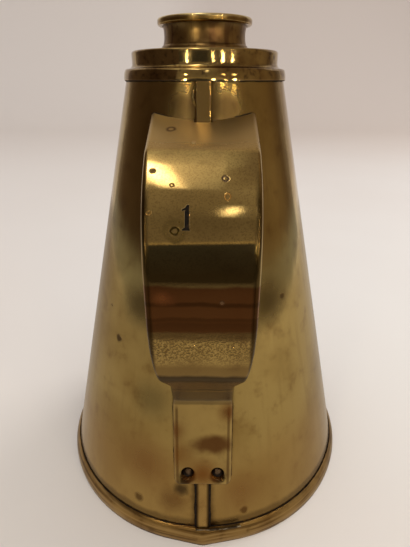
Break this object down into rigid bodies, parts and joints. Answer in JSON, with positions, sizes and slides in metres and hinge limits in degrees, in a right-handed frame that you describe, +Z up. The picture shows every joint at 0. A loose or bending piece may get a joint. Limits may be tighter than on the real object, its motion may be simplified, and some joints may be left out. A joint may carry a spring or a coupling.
{
  "type": "conical measuring jug",
  "caption": "Conical sheet-brass oil measure with a hooped foot, stepped cap, short open neck and riveted strap handle.",
  "frame": {"origin": "centre of the foot, on the surface that the measure stands on", "axes": "+Z up the cone's axis to the mouth; the handle and the seam are on the -Y side"},
  "size_m": [0.1318, 0.133, 0.182],
  "materials": {
    "cone_sheet": "polished, tarnished",
    "cap_brass": "spun and polished, tarnished",
    "neck_brass": "turned and polished",
    "strap_brass": "polished by handling, pitted below",
    "hoop_brass": "drawn, worn along its edge",
    "rivet_brass": "hammered, grimy round the heads"
  },
  "bodies": {
    "root": {"cone_body": "cone_sheet", "seam_strip": "cone_sheet", "foot_hoop": "hoop_brass", "base_plate": "cone_sheet", "shoulder_cap": "cap_brass", "neck_tube": "neck_brass", "lip_ring": "neck_brass", "strap_handle": "strap_brass", "handle_rivets": "rivet_brass"}
  },
  "joints": []
}
